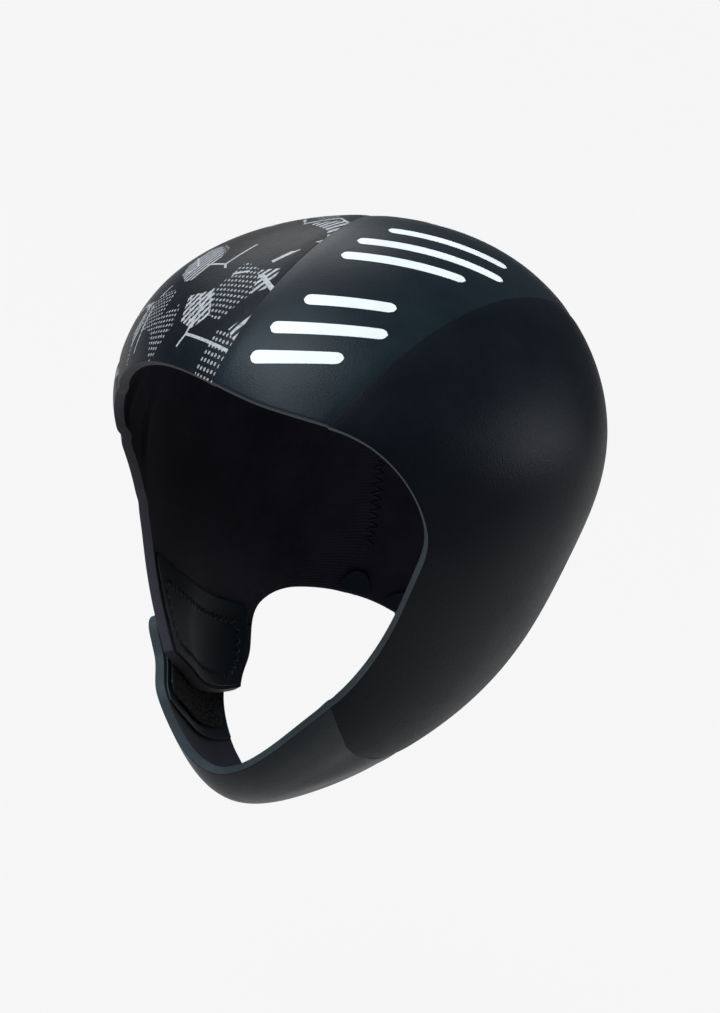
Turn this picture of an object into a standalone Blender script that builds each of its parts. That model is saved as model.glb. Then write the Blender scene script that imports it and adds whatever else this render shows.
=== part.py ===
"""Neoprene swim cap with a chin strap, cut from flat panels and joined edge to edge.

Metres. The origin is the top of the head inside the crown, +Z is up, -Y is the face side and +X is
the wearer's left. The cap keeps the form that it has on a head.
"""
import math

import bmesh
import bpy
import numpy as np
from mathutils import Vector

# Overall sizes, over the outside of the cap
CAP_WIDTH = 0.148
CAP_LENGTH = 0.192
CAP_HEIGHT = 0.198

# Degrees by which the middle line of the form leans back, as the top of a head does
LEAN = 8.0

# Sheet, patches and the room between pieces
SHEET = 0.003
FACING = 0.0004
HOOK_PILE = 0.0006
LOOP_PILE = 0.0006
GAP = 0.0003
LAYER_GAP = 0.0004

# Crown panel, half its width at its widest
CROWN_HALF_WIDTH = 0.036

# Strap and fastening
STRAP_NARROWING = 0.003
STRAP_SET_BACK = 0.014
STRAP_SEAM_BOW = 0.004
FLAP_TUCK = 0.007
TIP_ROUND = 0.010
HOOK_REACH = 0.011
HOOK_MARGIN = 0.0035
FACING_REACH = 0.015
FACING_MARGIN = 0.0012
LOOP_MARGIN = 0.009
FLAP_PATCH_LENGTH = 0.036
FLAP_PATCH_MARGIN = 0.0045
PATCH_ROUND = 0.007
NAPE_PATCH_RADIUS = 0.008

# Level sections of the outer form. level runs from -1 under the chin to 1 on the crown. left and
# right are shares of half the width, half_length and set_back of half the length.
FORM_COLUMNS = ("level", "left", "right", "half_length", "set_back")
FORM_SECTIONS = (
    (-1.0, 0.56, 0.66, 0.76, 0.05),
    (-0.6, 0.71, 0.83, 0.87, 0.21),
    (-0.2, 0.84, 0.88, 0.92, 0.10),
    (0.2, 0.985, 1.05, 1.015, -0.14),
    (0.6, 1.175, 1.19, 1.00, -0.18),
    (1.0, 1.23, 1.23, 1.06, 0.00),
)

# The two rims, as rows of turn (degrees round from straight ahead) and rise (degrees above level),
# seen from the middle of the form. Each starts and ends on the midline.
BROW_RISE = 22
CHIN_FRONT_RISE = -63
FACE_RIM_LEFT = ((27, 23), (47, 13), (50, 3), (48, -11), (44, -27), (36, -41))
FACE_RIM_RIGHT = ((30, 20), (54, 9), (59, -3), (53, -15), (48, -29), (42, -44))
NAPE_RISE = -24
CHIN_BACK_RISE = -80
NECK_RIM_LEFT = ((129, -34), (121, -38), (114, -48), (102, -61))
NECK_RIM_RIGHT = ((140, -25), (118, -33), (117, -45), (113, -57))

# Where the pieces end, as shares of a rim's length from the midline at the top, down the left, under
# the chin and up the right: first on the face rim, then on the neck rim.
STRAP_SEAM = (0.366, 0.236)
STRAP_LIFTS = (0.460, 0.570)
STRAP_LEAVES = (0.548, 0.600)
FLAP_END = (0.585, 0.615)
STRAP_TIP = (0.637, 0.700)

# The right flap goes in under the strap round this turn and rise, from 50 to 24 degrees away
TUCK_MIDDLE = (-100, -50)
TUCK_STARTS = 50
TUCK_ENDS = 24

# Crown seams. way is the share of the way from brow to nape, half_width a share of the widest, and
# aside moves the panel's middle towards the wearer's left, a share of the widest too.
SEAM_COLUMNS = ("way", "half_width", "aside")
CROWN_SEAMS = (
    (0.0, 0.61, 0.09),
    (0.2, 0.74, 0.09),
    (0.4, 0.95, 0.06),
    (0.6, 1.02, -0.03),
    (0.8, 0.72, -0.26),
    (1.0, 0.33, -0.60),
)

# Height of the strap's outer face over the flap that it closes on
STRAP_PROUD = SHEET + FACING + HOOK_PILE + LOOP_PILE + 4.0 * LAYER_GAP

CAP = bpy.data.collections.new("swim_cap")
FINE = 200


def unit(vectors):
    """Scale each vector to length 1."""
    return vectors / np.linalg.norm(vectors, axis=-1, keepdims=True)


def mix(first, last, share):
    """Value at a share of the way from first to last."""
    return first + (last - first) * share


def curve_through(points, closed=False):
    """Smooth curve through points, as a function of the count of points passed."""
    points = np.asarray(points, dtype=float)
    count = len(points)
    system = 4.0 * np.eye(count)
    bend = np.zeros_like(points)
    for i in range(count):
        if closed or 0 < i < count - 1:
            before, after = (i - 1) % count, (i + 1) % count
            system[i, before] += 1.0
            system[i, after] += 1.0
            bend[i] = 6.0 * (points[before] - 2.0 * points[i] + points[after])
    bend = np.linalg.solve(system, bend)

    def at(where):
        where = np.asarray(where, dtype=float)
        first = np.floor(where).astype(int)
        if not closed:
            first = np.clip(first, 0, count - 2)
        t = where - first
        if points.ndim > 1:
            t = t[..., None]
        a, b = first % count, (first + 1) % count
        sag = t * (1.0 - t) / 6.0 * ((2.0 - t) * bend[a] + (1.0 + t) * bend[b])
        return mix(points[a], points[b], t) - sag

    return at


def column(table, names, name):
    """One named column of a table."""
    return [row[names.index(name)] for row in table]


LEVELS = column(FORM_SECTIONS, FORM_COLUMNS, "level")
LEFT_AT = curve_through(column(FORM_SECTIONS, FORM_COLUMNS, "left"))
RIGHT_AT = curve_through(column(FORM_SECTIONS, FORM_COLUMNS, "right"))
HALF_LENGTH_AT = curve_through(column(FORM_SECTIONS, FORM_COLUMNS, "half_length"))
SET_BACK_AT = curve_through(column(FORM_SECTIONS, FORM_COLUMNS, "set_back"))


def form_point(way):
    """Point of the cap's outer form in the direction of a unit vector."""
    count = (way[..., 2] - LEVELS[0]) / (LEVELS[1] - LEVELS[0])
    x = 0.5 * CAP_WIDTH * np.where(way[..., 0] > 0.0, LEFT_AT(count), RIGHT_AT(count)) * way[..., 0]
    y = 0.5 * CAP_LENGTH * (SET_BACK_AT(count) + HALF_LENGTH_AT(count) * way[..., 1])
    z = 0.5 * CAP_HEIGHT * way[..., 2]
    leaned_y = y * math.cos(math.radians(LEAN)) + z * math.sin(math.radians(LEAN))
    leaned_z = z * math.cos(math.radians(LEAN)) - y * math.sin(math.radians(LEAN))
    return np.stack([x, leaned_y, leaned_z], axis=-1) + SEAT


def form_normal(way):
    """Outward normal of the outer form in the direction of a unit vector."""
    steep = np.abs(way[..., 2:]) > 0.9
    side = unit(np.cross(way, np.where(steep, [0.0, 1.0, 0.0], [0.0, 0.0, 1.0])))
    up = np.cross(side, way)
    step = 1e-4
    along_side = form_point(unit(way + step * side)) - form_point(unit(way - step * side))
    along_up = form_point(unit(way + step * up)) - form_point(unit(way - step * up))
    return unit(np.cross(along_up, along_side))


def crown_top():
    """Highest point of the outer form on the midline."""
    turn = np.linspace(0.0, math.pi, 40 * FINE)
    midline = form_point(np.stack([np.zeros_like(turn), -np.cos(turn), np.sin(turn)], axis=-1))
    return midline[np.argmax(midline[:, 2])]


# Moves the form so that the top of the head, inside the sheet, is the origin
SEAT = np.zeros(3)
SEAT = np.array([0.0, 0.0, SHEET]) - crown_top()


def direction(turn, rise):
    """Unit vector for a turn and a rise in degrees."""
    turn, rise = math.radians(turn), math.radians(rise)
    return np.array([math.sin(turn) * math.cos(rise), -math.cos(turn) * math.cos(rise), math.sin(rise)])


def closed_rim(middle_turn, top_rise, left, bottom_rise, right):
    """A whole rim as directions: midline, down the left, under the chin and up the right."""
    rows = [(middle_turn, top_rise), *left, (middle_turn, bottom_rise)]
    rows += [(-turn, rise) for turn, rise in reversed(right)]
    curve = curve_through([direction(*row) for row in rows], closed=True)
    return unit(curve(np.linspace(0.0, len(rows), 4 * FINE + 1)))


def along(curve, share):
    """Directions at shares of a drawn curve's length."""
    steps = np.linalg.norm(np.diff(form_point(curve), axis=0), axis=1)
    length = np.concatenate([[0.0], np.cumsum(steps)])
    return unit(np.stack([np.interp(share * length[-1], length, curve[:, k]) for k in range(3)], axis=-1))


def rim_span(rim, first, last):
    """Stretch of a closed rim between two shares, which may run past the midline."""
    return along(rim, np.linspace(first, last, FINE) % 1.0)


def straight(first, last):
    """A cut that runs straight from one direction to another."""
    return unit(mix(first, last, np.linspace(0.0, 1.0, FINE)[:, None]))


FACE_RIM = closed_rim(0, BROW_RISE, FACE_RIM_LEFT, CHIN_FRONT_RISE, FACE_RIM_RIGHT)
NECK_RIM = closed_rim(180, NAPE_RISE, NECK_RIM_LEFT, CHIN_BACK_RISE, NECK_RIM_RIGHT)


def band(face_share, neck_share, across):
    """Direction across the band between the rims, 0 on the face rim and 1 on the neck rim."""
    return unit(mix(along(FACE_RIM, face_share), along(NECK_RIM, neck_share), across[..., None]))


def band_size(first, last):
    """Length along the middle of a band and its width half way, between two rows of rim shares."""
    share = np.linspace(0.0, 1.0, FINE)
    rims = mix(first[0], last[0], share), mix(first[1], last[1], share)
    middle, face, neck = (form_point(band(*rims, np.full(FINE, across))) for across in (0.5, 0.0, 1.0))
    length = np.linalg.norm(np.diff(middle, axis=0), axis=1).sum()
    return length, np.linalg.norm(face - neck, axis=1)[FINE // 2]


def rim_share(rim, sideways):
    """Share of a rim's length, near its top midline point, that lies this far to the left."""
    reach = 0.12
    shares = np.linspace(-reach, reach, FINE)
    return float(np.interp(sideways, along(rim, shares % 1.0)[:, 0], shares))


def crown_seam(side):
    """A crown seam from brow to nape, 1 for the left or -1 for the right, and its ends on the rims."""
    half, aside = (curve_through(column(CROWN_SEAMS, SEAM_COLUMNS, n)) for n in ("half_width", "aside"))
    way = np.linspace(0.0, 1.0, FINE)
    count = way * (len(CROWN_SEAMS) - 1)
    crown_radius = 0.5 * CAP_WIDTH * column(FORM_SECTIONS, FORM_COLUMNS, "left")[-1]
    sideways = CROWN_HALF_WIDTH / crown_radius * (side * half(count) + aside(count))
    ends = rim_share(FACE_RIM, sideways[0]), rim_share(NECK_RIM, sideways[-1])
    brow, nape = along(FACE_RIM, ends[0] % 1.0), along(NECK_RIM, ends[1] % 1.0)
    turn = mix(math.atan2(brow[2], -brow[1]), math.atan2(nape[2], -nape[1]) % (2.0 * math.pi), way)
    flat = np.sqrt(1.0 - sideways ** 2)
    return np.stack([sideways, -flat * np.cos(turn), flat * np.sin(turn)], axis=-1), ends


def panel(front, back, top, hem, tucked=False):
    """Fill four drawn edges: front and back run down, top and hem run across from front to back."""
    def place(across, down):
        u, v = across[:, None], down[:, None]
        sides = mix(along(front, down), along(back, down), u)
        ends = mix(along(top, across), along(hem, across), v)
        corners = mix(mix(top[0], top[-1], u), mix(hem[0], hem[-1], u), v)
        way = unit(sides + ends - corners)
        normal = form_normal(way)
        depth = tuck(way) if tucked else np.zeros(len(way))
        return form_point(way) - normal * depth[:, None], normal

    return place


def rounded(across, down, size, radius, both_ends):
    """Pull the sides of a band in near its last end, or both, so that its corners have a radius."""
    length, width = size
    to_end = np.minimum(down if both_ends else 1.0, 1.0 - down) * length
    short = radius - np.minimum(to_end, radius)
    inset = radius - np.sqrt(radius ** 2 - short ** 2)
    return 0.5 + (across - 0.5) * (1.0 - 2.0 * inset / width)


def spacing(count):
    """Shares from 0 to 1 that lie closer together towards both ends."""
    crowding = 0.6
    even = np.linspace(0.0, 1.0, count + 1)
    return mix(even, 0.5 - 0.5 * np.cos(math.pi * even), crowding)


def eased(value, first, last):
    """Rise smoothly from 0 at the first value to 1 at the last."""
    share = np.clip((value - first) / (last - first), 0.0, 1.0)
    return share * share * (3.0 - 2.0 * share)


def tuck(way):
    """Depth by which the right flap goes in under the strap."""
    away = np.degrees(np.arccos(np.clip(way @ direction(*TUCK_MIDDLE), -1.0, 1.0)))
    return FLAP_TUCK * eased(away, TUCK_STARTS, TUCK_ENDS)


def strap_way(across, down, reach):
    """Direction and height on the stretch of the strap between two rows of rim shares."""
    first, last = reach
    face, neck = mix(first[0], last[0], down), mix(first[1], last[1], down)
    lift = eased(face, *STRAP_LIFTS)
    width = band_size(FLAP_END, STRAP_TIP)[1]
    front = eased(face, *STRAP_LEAVES) * STRAP_SET_BACK / width
    back = lift * STRAP_NARROWING / width
    bow = (1.0 - lift) * 4.0 * across * (1.0 - across) * STRAP_SEAM_BOW / rim_length(FACE_RIM)
    way = band(face + bow, neck + bow, mix(front, 1.0 - back, across))
    return way, lift * (STRAP_PROUD - tuck(way))


def strap_row(face_share):
    """Row of rim shares on the strap for its share on the face rim."""
    down = (face_share - STRAP_SEAM[0]) / (STRAP_TIP[0] - STRAP_SEAM[0])
    return face_share, mix(STRAP_SEAM[1], STRAP_TIP[1], down)


def rim_length(rim):
    """Length of a whole rim."""
    return np.linalg.norm(np.diff(form_point(rim), axis=0), axis=1).sum()


def sheet(name, colour, place, rows, columns, wall, joined=(), roughness=0.6):
    """A curved sheet: a flat grid laid on the form by place(across, down), then given its wall."""
    build = bmesh.new()
    bmesh.ops.create_grid(build, x_segments=columns, y_segments=rows, size=1.0)
    flat = np.array([vert.co[:2] for vert in build.verts])
    column_at = np.rint((flat[:, 0] + 1.0) / 2.0 * columns).astype(int)
    row_at = np.rint((flat[:, 1] + 1.0) / 2.0 * rows).astype(int)
    points, normals = place(spacing(columns)[column_at], spacing(rows)[row_at])
    grid = np.empty((rows + 1, columns + 1), dtype=int)
    grid[row_at, column_at] = np.arange(len(flat))
    edges = {"top": (grid[0], grid[1]), "hem": (grid[-1], grid[-2]),
             "front": (grid[:, 0], grid[:, 1]), "back": (grid[:, -1], grid[:, -2])}
    for edge in joined:
        outer, inner = edges[edge]
        points[outer] += 0.5 * GAP * unit(points[inner] - points[outer])
    for vert, point in zip(build.verts, points):
        vert.co = point
    bmesh.ops.remove_doubles(build, verts=build.verts, dist=1e-6)
    build.normal_update()
    build.verts.ensure_lookup_table()
    corner = min(build.verts, key=lambda vert: (vert.co - Vector(points[grid[1, 1]])).length)
    if corner.link_faces[0].normal.dot(Vector(normals[grid[1, 1]])) < 0.0:
        bmesh.ops.reverse_faces(build, faces=build.faces)
    mesh = bpy.data.meshes.new(name)
    build.to_mesh(mesh)
    build.free()
    mesh.shade_smooth()
    mesh.materials.append(finish(name, colour, roughness))
    piece = bpy.data.objects.new(name, mesh)
    CAP.objects.link(piece)
    solid = piece.modifiers.new("wall", "SOLIDIFY")
    solid.thickness = wall
    solid.offset = -1.0
    solid.use_even_offset = True
    return piece


def finish(name, colour, roughness):
    """A plain material for one piece."""
    material = bpy.data.materials.new(name)
    material.use_nodes = True
    shader = material.node_tree.nodes["Principled BSDF"]
    shader.inputs["Base Color"].default_value = (*colour, 1.0)
    shader.inputs["Roughness"].default_value = roughness
    shader.inputs["Metallic"].default_value = 0.0
    return material


def strap_piece(depth, reach, margin, radius, both_ends):
    """Place a sheet on the strap: depth under its outer face, from one row of rim shares to another."""
    size = band_size(*reach)

    def place(across, down):
        inside = mix(margin / size[1], 1.0 - margin / size[1], across)
        inside = rounded(inside, down, size, radius, both_ends)
        way, height = strap_way(inside, down, reach)
        normal = form_normal(way)
        return form_point(way) + normal * (height - depth)[:, None], normal

    return place


def flap_piece(height, from_end, length, margin, both_ends):
    """Place a patch on the right flap, at a height over its outer face and a distance from its end."""
    shares = [(from_end / rim_length(rim), length / rim_length(rim)) for rim in (FACE_RIM, NECK_RIM)]
    first = [end + start for end, (start, _) in zip(FLAP_END, shares)]
    last = [begin + run for begin, (_, run) in zip(first, shares)]
    size = band_size(first, last)

    def place(across, down):
        inside = mix(margin / size[1], 1.0 - margin / size[1], across)
        inside = 1.0 - rounded(1.0 - inside, down, size, PATCH_ROUND, both_ends)
        way = band(mix(first[0], last[0], down), mix(first[1], last[1], down), inside)
        normal = form_normal(way)
        return form_point(way) + normal * (height - tuck(way))[:, None], normal

    return place


def nape_patch(seam, rim_at):
    """Place a half-round patch inside the neck rim over the end of a crown seam."""
    centre = along(NECK_RIM, rim_at % 1.0)
    beside = unit(along(NECK_RIM, (rim_at + 0.005) % 1.0) - along(NECK_RIM, (rim_at - 0.005) % 1.0))
    inward = unit(along(seam, 0.95) - centre)
    scale = np.linalg.norm(form_point(unit(centre + 0.01 * inward)) - form_point(centre)) / 0.01

    def place(across, down):
        angle, radius = math.pi * across, NAPE_PATCH_RADIUS * down
        side, reach = radius * np.cos(angle), radius * np.sin(angle) + FACING_MARGIN
        way = unit(centre + (side[:, None] * beside + reach[:, None] * inward) / scale)
        normal = form_normal(way)
        return form_point(way) - normal * (SHEET + LAYER_GAP), normal

    return place


for scene_object in list(bpy.data.objects):
    bpy.data.objects.remove(scene_object)
bpy.context.scene.collection.children.link(CAP)

SMOOTH_SKIN = (0.012, 0.018, 0.023)
LINED = (0.010, 0.013, 0.016)
PATCH_BLACK = (0.006, 0.006, 0.007)

left_seam, (left_brow, left_nape) = crown_seam(1)
right_seam, (right_brow, right_nape) = crown_seam(-1)
brow = rim_span(FACE_RIM, right_brow, left_brow)
nape = rim_span(NECK_RIM, right_nape, left_nape)

# Crown panel, from the brow over the crown to the nape
sheet("crown_panel", SMOOTH_SKIN, panel(right_seam, left_seam, brow, nape), 26, 8, SHEET,
      joined=("front", "back"))

# Left side panel, down to the seam of the strap
left_face = rim_span(FACE_RIM, left_brow, STRAP_SEAM[0])
left_neck = rim_span(NECK_RIM, left_nape, STRAP_SEAM[1])
strap_seam, _ = strap_way(np.linspace(0.0, 1.0, FINE), np.zeros(FINE), (STRAP_SEAM, STRAP_TIP))
sheet("side_panel_left", LINED, panel(left_face, left_neck, left_seam, strap_seam),
      20, 24, SHEET, joined=("top", "hem"))

# Right side panel, down to the free end of its flap
right_face = rim_span(FACE_RIM, 1.0 + right_brow, FLAP_END[0])
right_neck = rim_span(NECK_RIM, 1.0 + right_nape, FLAP_END[1])
sheet("side_panel_right", LINED,
      panel(right_face, right_neck, right_seam, straight(right_face[-1], right_neck[-1]), tucked=True),
      20, 24, SHEET, joined=("top",))

# Chin strap, from its seam round under the chin and up over the flap
sheet("chin_strap", SMOOTH_SKIN, strap_piece(0.0, (STRAP_SEAM, STRAP_TIP), 0.0, TIP_ROUND, False),
      34, 16, SHEET, joined=("top",))

# Smooth facing and hook patch on the strap's inner face
rim_metre = 1.0 / rim_length(FACE_RIM)
facing_reach = [strap_row(FLAP_END[0] - FACING_REACH * rim_metre),
                strap_row(STRAP_TIP[0] - FACING_MARGIN * rim_metre)]
sheet("strap_facing", SMOOTH_SKIN,
      strap_piece(SHEET + LAYER_GAP, facing_reach, FACING_MARGIN, TIP_ROUND, False),
      12, 6, FACING)
hook_reach = [strap_row(FLAP_END[0] - HOOK_REACH * rim_metre),
              strap_row(STRAP_TIP[0] - HOOK_MARGIN * rim_metre)]
sheet("hook_patch", PATCH_BLACK,
      strap_piece(SHEET + FACING + 2.0 * LAYER_GAP, hook_reach, HOOK_MARGIN, PATCH_ROUND, True),
      12, 6, HOOK_PILE, roughness=0.9)

# Loop patch on the flap's outer face, and the facing that backs it inside
loop_length = FLAP_PATCH_LENGTH - 2.0 * LOOP_MARGIN
sheet("loop_patch", PATCH_BLACK,
      flap_piece(LAYER_GAP + LOOP_PILE, LOOP_MARGIN, loop_length, LOOP_MARGIN, True),
      10, 6, LOOP_PILE, roughness=0.9)
sheet("flap_facing", SMOOTH_SKIN,
      flap_piece(-SHEET - LAYER_GAP, FACING_MARGIN, FLAP_PATCH_LENGTH, FLAP_PATCH_MARGIN, False),
      10, 6, FACING)

# Half-round patches over the ends of the crown seams inside the nape
for name, seam, rim_at in (("nape_patch_left", left_seam, left_nape),
                           ("nape_patch_right", right_seam, right_nape)):
    sheet(name, SMOOTH_SKIN, nape_patch(seam, rim_at), 4, 12, FACING)
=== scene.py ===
import math

import bpy
import numpy as np
from mathutils import Matrix


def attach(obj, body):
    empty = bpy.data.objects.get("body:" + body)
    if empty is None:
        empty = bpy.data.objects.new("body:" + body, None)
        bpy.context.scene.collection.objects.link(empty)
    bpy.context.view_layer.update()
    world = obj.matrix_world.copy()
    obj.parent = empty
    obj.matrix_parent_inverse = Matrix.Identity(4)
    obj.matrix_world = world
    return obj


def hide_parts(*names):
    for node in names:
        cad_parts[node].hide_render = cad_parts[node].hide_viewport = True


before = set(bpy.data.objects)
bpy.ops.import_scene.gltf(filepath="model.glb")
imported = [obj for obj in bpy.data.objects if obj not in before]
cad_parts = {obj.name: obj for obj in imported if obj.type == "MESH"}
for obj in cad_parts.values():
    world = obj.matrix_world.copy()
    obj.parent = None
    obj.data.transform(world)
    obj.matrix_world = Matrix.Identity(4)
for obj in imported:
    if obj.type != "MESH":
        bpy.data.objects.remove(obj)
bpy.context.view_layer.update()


# Crown panel. The long middle panel of 3 mm smooth-skin neoprene, cut to a double taper and glued
# edge to edge to the side panels. It sets the form of the whole cap, so the form's sizes are here:
# the outside of the cap as worn, its two rims and its two crown seams. Lengths are in metres here and
# below, and LEAN is in degrees.
CAP_WIDTH = 0.148
CAP_LENGTH = 0.192
CAP_HEIGHT = 0.198
LEAN = 8.0
SHEET = 0.003
CUT_ROUND = 0.0007
SEAM_PRESS = 0.0004
LAYER_GAP = 0.0004
CROWN_HALF_WIDTH = 0.036

# left and right are shares of half the width, half_length and set_back of half the length.
FORM_COLUMNS = ("level", "left", "right", "half_length", "set_back")
FORM_SECTIONS = (
    (-1.0, 0.56, 0.66, 0.76, 0.05),
    (-0.6, 0.71, 0.83, 0.87, 0.21),
    (-0.2, 0.84, 0.88, 0.92, 0.10),
    (0.2, 0.985, 1.05, 1.015, -0.14),
    (0.6, 1.175, 1.19, 1.00, -0.18),
    (1.0, 1.23, 1.23, 1.06, 0.00),
)

# Rows of turn and rise in degrees, seen from the middle of the form.
BROW_RISE = 22
CHIN_FRONT_RISE = -63
FACE_RIM_LEFT = ((27, 23), (47, 13), (50, 3), (48, -11), (44, -27), (36, -41))
FACE_RIM_RIGHT = ((30, 20), (54, 9), (59, -3), (53, -15), (48, -29), (42, -44))
NAPE_RISE = -24
CHIN_BACK_RISE = -80
NECK_RIM_LEFT = ((129, -34), (121, -38), (114, -48), (102, -61))
NECK_RIM_RIGHT = ((140, -25), (118, -33), (117, -45), (113, -57))

# way runs from brow to nape, and the other columns are shares of the widest half width.
SEAM_COLUMNS = ("way", "half_width", "aside")
CROWN_SEAMS = (
    (0.0, 0.61, 0.09),
    (0.2, 0.74, 0.09),
    (0.4, 0.95, 0.06),
    (0.6, 1.02, -0.03),
    (0.8, 0.72, -0.26),
    (1.0, 0.33, -0.60),
)
FINE = 200

# Unevenness of the skin in metres, and the widths of the seam valleys as shares of a panel
SLACK_SPAN = 0.048
SLACK_DEPTH = 0.00022
VALLEY_DEPTH = 0.00026
CROWN_VALLEY = 0.05
SIDE_VALLEY = 0.012
STRAP_VALLEY = 0.02


def unit(vectors):
    """Scale each vector to length 1."""
    return vectors / np.linalg.norm(vectors, axis=-1, keepdims=True)


def mix(first, last, share):
    """Value at a share of the way from first to last."""
    return first + (last - first) * share


def curve_through(points, closed=False):
    """Smooth curve through points, as a function of the count of points passed."""
    points = np.asarray(points, dtype=float)
    count = len(points)
    system = 4.0 * np.eye(count)
    bend = np.zeros_like(points)
    for i in range(count):
        if closed or 0 < i < count - 1:
            before, after = (i - 1) % count, (i + 1) % count
            system[i, before] += 1.0
            system[i, after] += 1.0
            bend[i] = 6.0 * (points[before] - 2.0 * points[i] + points[after])
    bend = np.linalg.solve(system, bend)

    def at(where):
        where = np.asarray(where, dtype=float)
        first = np.floor(where).astype(int)
        if not closed:
            first = np.clip(first, 0, count - 2)
        t = where - first
        if points.ndim > 1:
            t = t[..., None]
        a, b = first % count, (first + 1) % count
        sag = t * (1.0 - t) / 6.0 * ((2.0 - t) * bend[a] + (1.0 + t) * bend[b])
        return mix(points[a], points[b], t) - sag

    return at


def column(table, names, name):
    """One named column of a table."""
    return [row[names.index(name)] for row in table]


LEVELS = column(FORM_SECTIONS, FORM_COLUMNS, "level")
LEFT_AT = curve_through(column(FORM_SECTIONS, FORM_COLUMNS, "left"))
RIGHT_AT = curve_through(column(FORM_SECTIONS, FORM_COLUMNS, "right"))
HALF_LENGTH_AT = curve_through(column(FORM_SECTIONS, FORM_COLUMNS, "half_length"))
SET_BACK_AT = curve_through(column(FORM_SECTIONS, FORM_COLUMNS, "set_back"))


def form_point(way):
    """Point of the cap's outer form in the direction of a unit vector."""
    count = (way[..., 2] - LEVELS[0]) / (LEVELS[1] - LEVELS[0])
    x = 0.5 * CAP_WIDTH * np.where(way[..., 0] > 0.0, LEFT_AT(count), RIGHT_AT(count)) * way[..., 0]
    y = 0.5 * CAP_LENGTH * (SET_BACK_AT(count) + HALF_LENGTH_AT(count) * way[..., 1])
    z = 0.5 * CAP_HEIGHT * way[..., 2]
    leaned_y = y * math.cos(math.radians(LEAN)) + z * math.sin(math.radians(LEAN))
    leaned_z = z * math.cos(math.radians(LEAN)) - y * math.sin(math.radians(LEAN))
    return np.stack([x, leaned_y, leaned_z], axis=-1) + SEAT


def form_normal(way):
    """Outward normal of the outer form in the direction of a unit vector."""
    steep = np.abs(way[..., 2:]) > 0.9
    side = unit(np.cross(way, np.where(steep, [0.0, 1.0, 0.0], [0.0, 0.0, 1.0])))
    up = np.cross(side, way)
    step = 1e-4
    along_side = form_point(unit(way + step * side)) - form_point(unit(way - step * side))
    along_up = form_point(unit(way + step * up)) - form_point(unit(way - step * up))
    return unit(np.cross(along_up, along_side))


def crown_top():
    """Highest point of the outer form on the midline."""
    turn = np.linspace(0.0, math.pi, 40 * FINE)
    midline = form_point(np.stack([np.zeros_like(turn), -np.cos(turn), np.sin(turn)], axis=-1))
    return midline[np.argmax(midline[:, 2])]


# Moves the form so that the top of the head, inside the sheet, is the origin
SEAT = np.zeros(3)
SEAT = np.array([0.0, 0.0, SHEET]) - crown_top()


def direction(turn, rise):
    """Unit vector for a turn and a rise in degrees."""
    turn, rise = math.radians(turn), math.radians(rise)
    return np.array([math.sin(turn) * math.cos(rise), -math.cos(turn) * math.cos(rise), math.sin(rise)])


def closed_rim(middle_turn, top_rise, left, bottom_rise, right):
    """A whole rim as directions: midline, down the left, under the chin and up the right."""
    rows = [(middle_turn, top_rise), *left, (middle_turn, bottom_rise)]
    rows += [(-turn, rise) for turn, rise in reversed(right)]
    curve = curve_through([direction(*row) for row in rows], closed=True)
    return unit(curve(np.linspace(0.0, len(rows), 4 * FINE + 1)))


def along(curve, share):
    """Directions at shares of a drawn curve's length."""
    steps = np.linalg.norm(np.diff(form_point(curve), axis=0), axis=1)
    length = np.concatenate([[0.0], np.cumsum(steps)])
    return unit(np.stack([np.interp(share * length[-1], length, curve[:, k]) for k in range(3)], axis=-1))


def rim_span(rim, first, last):
    """Stretch of a closed rim between two shares, which may run past the midline."""
    return along(rim, np.linspace(first, last, FINE) % 1.0)


def straight(first, last):
    """A cut that runs straight from one direction to another."""
    return unit(mix(first, last, np.linspace(0.0, 1.0, FINE)[:, None]))


FACE_RIM = closed_rim(0, BROW_RISE, FACE_RIM_LEFT, CHIN_FRONT_RISE, FACE_RIM_RIGHT)
NECK_RIM = closed_rim(180, NAPE_RISE, NECK_RIM_LEFT, CHIN_BACK_RISE, NECK_RIM_RIGHT)


def band(face_share, neck_share, across):
    """Direction across the band between the rims, 0 on the face rim and 1 on the neck rim."""
    return unit(mix(along(FACE_RIM, face_share), along(NECK_RIM, neck_share), across[..., None]))


def band_size(first, last):
    """Length along the middle of a band and its width half way, between two rows of rim shares."""
    share = np.linspace(0.0, 1.0, FINE)
    rims = mix(first[0], last[0], share), mix(first[1], last[1], share)
    middle, face, neck = (form_point(band(*rims, np.full(FINE, across))) for across in (0.5, 0.0, 1.0))
    length = np.linalg.norm(np.diff(middle, axis=0), axis=1).sum()
    return length, np.linalg.norm(face - neck, axis=1)[FINE // 2]


def rim_share(rim, sideways):
    """Share of a rim's length, near its top midline point, that lies this far to the left."""
    reach = 0.12
    shares = np.linspace(-reach, reach, FINE)
    return float(np.interp(sideways, along(rim, shares % 1.0)[:, 0], shares))


def crown_seam(side):
    """A crown seam from brow to nape, 1 for the left or -1 for the right, and its ends on the rims."""
    half, aside = (curve_through(column(CROWN_SEAMS, SEAM_COLUMNS, n)) for n in ("half_width", "aside"))
    way = np.linspace(0.0, 1.0, FINE)
    count = way * (len(CROWN_SEAMS) - 1)
    crown_radius = 0.5 * CAP_WIDTH * column(FORM_SECTIONS, FORM_COLUMNS, "left")[-1]
    sideways = CROWN_HALF_WIDTH / crown_radius * (side * half(count) + aside(count))
    ends = rim_share(FACE_RIM, sideways[0]), rim_share(NECK_RIM, sideways[-1])
    brow, nape = along(FACE_RIM, ends[0] % 1.0), along(NECK_RIM, ends[1] % 1.0)
    turn = mix(math.atan2(brow[2], -brow[1]), math.atan2(nape[2], -nape[1]) % (2.0 * math.pi), way)
    flat = np.sqrt(1.0 - sideways ** 2)
    return np.stack([sideways, -flat * np.cos(turn), flat * np.sin(turn)], axis=-1), ends


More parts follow.
